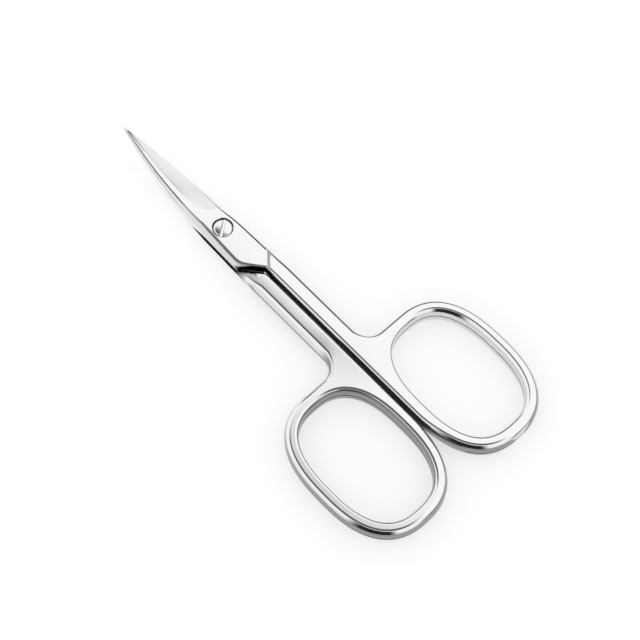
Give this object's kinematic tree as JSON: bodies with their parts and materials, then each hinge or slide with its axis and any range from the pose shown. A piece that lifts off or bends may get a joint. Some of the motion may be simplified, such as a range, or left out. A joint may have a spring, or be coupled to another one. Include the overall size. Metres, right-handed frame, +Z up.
{
  "type": "nail scissors",
  "caption": "Curved nail scissors: crossed steel halves with rounded oblong finger bows and short pointed blades, turning on a slotted pivot screw.",
  "frame": {"origin": "centre of the closed scissors' bounding box, on the flat surface they lie on", "axes": "+X towards the blade tips, +Y towards the lower half's finger bow, +Z up, towards the screw head"},
  "size_m": [0.0895, 0.0428, 0.0053],
  "materials": {
    "upper_half_steel": "nickel-plated and mirror-polished",
    "lower_half_steel": "nickel-plated and mirror-polished",
    "screw_steel": "polished steel"
  },
  "bodies": {
    "lower_half": {"lower_half": "lower_half_steel", "pivot_screw": "screw_steel"},
    "upper_half": {"upper_half": "upper_half_steel"}
  },
  "joints": [
    {"name": "pivot", "type": "hinge", "parent": "lower_half", "child": "upper_half", "pos_m": [0.01795, 0, 0.002], "axis": [0, 0, 1], "range_deg": [0, 70]}
  ]
}
